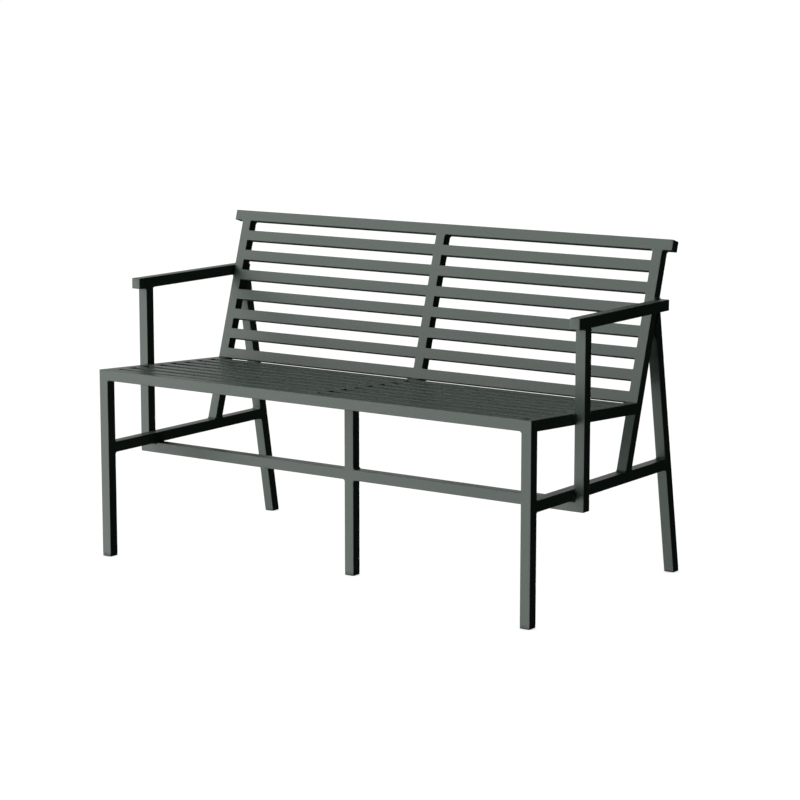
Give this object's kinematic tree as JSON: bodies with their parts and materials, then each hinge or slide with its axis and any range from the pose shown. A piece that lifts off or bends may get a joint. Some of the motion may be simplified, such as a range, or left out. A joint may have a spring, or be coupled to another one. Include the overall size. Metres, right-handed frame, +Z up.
{
  "type": "bench",
  "caption": "Street bench of welded square steel tube, with a slatted seat, a reclined slatted back and arms on both sides.",
  "frame": {"origin": "on the floor, at the middle of the bench's width and depth", "axes": "+X along the bench to the sitter's left, +Y to the back, +Z up"},
  "size_m": [1.25, 0.655, 0.7834],
  "materials": {
    "powder_coat": "satin",
    "glide_plastic": "fine grained"
  },
  "bodies": {
    "root": {"seat_slat_left_1": "powder_coat", "seat_slat_left_2": "powder_coat", "seat_slat_left_3": "powder_coat", "seat_slat_left_4": "powder_coat", "seat_slat_left_5": "powder_coat", "seat_slat_left_6": "powder_coat", "seat_slat_left_7": "powder_coat", "seat_slat_left_8": "powder_coat", "seat_slat_right_1": "powder_coat", "seat_slat_right_2": "powder_coat", "seat_slat_right_3": "powder_coat", "seat_slat_right_4": "powder_coat", "seat_slat_right_5": "powder_coat", "seat_slat_right_6": "powder_coat", "seat_slat_right_7": "powder_coat", "seat_slat_right_8": "powder_coat", "back_slat_left_1": "powder_coat", "back_slat_left_2": "powder_coat", "back_slat_left_3": "powder_coat", "back_slat_left_4": "powder_coat", "back_slat_left_5": "powder_coat", "back_slat_left_6": "powder_coat", "back_slat_left_7": "powder_coat", "back_slat_right_1": "powder_coat", "back_slat_right_2": "powder_coat", "back_slat_right_3": "powder_coat", "back_slat_right_4": "powder_coat", "back_slat_right_5": "powder_coat", "back_slat_right_6": "powder_coat", "back_slat_right_7": "powder_coat", "front_leg_left": "powder_coat", "front_leg_right": "powder_coat", "rear_leg_left": "powder_coat", "rear_leg_right": "powder_coat", "centre_leg": "powder_coat", "back_upright_left": "powder_coat", "back_upright_centre": "powder_coat", "back_upright_right": "powder_coat", "back_top_rail": "powder_coat", "seat_front_rail": "powder_coat", "seat_side_rail_left": "powder_coat", "seat_side_rail_right": "powder_coat", "seat_centre_rail": "powder_coat", "side_stretcher_left": "powder_coat", "side_stretcher_right": "powder_coat", "long_stretcher_left": "powder_coat", "long_stretcher_right": "powder_coat", "arm_left": "powder_coat", "arm_right": "powder_coat", "arm_post_left": "powder_coat", "arm_post_right": "powder_coat", "front_glides": "glide_plastic", "centre_glide": "glide_plastic", "rear_glides": "glide_plastic", "top_rail_end_plates": "powder_coat", "arm_front_end_plates": "powder_coat", "arm_rear_end_plates": "powder_coat", "arm_post_end_plates": "powder_coat", "centre_upright_end_plate": "powder_coat"}
  },
  "joints": []
}
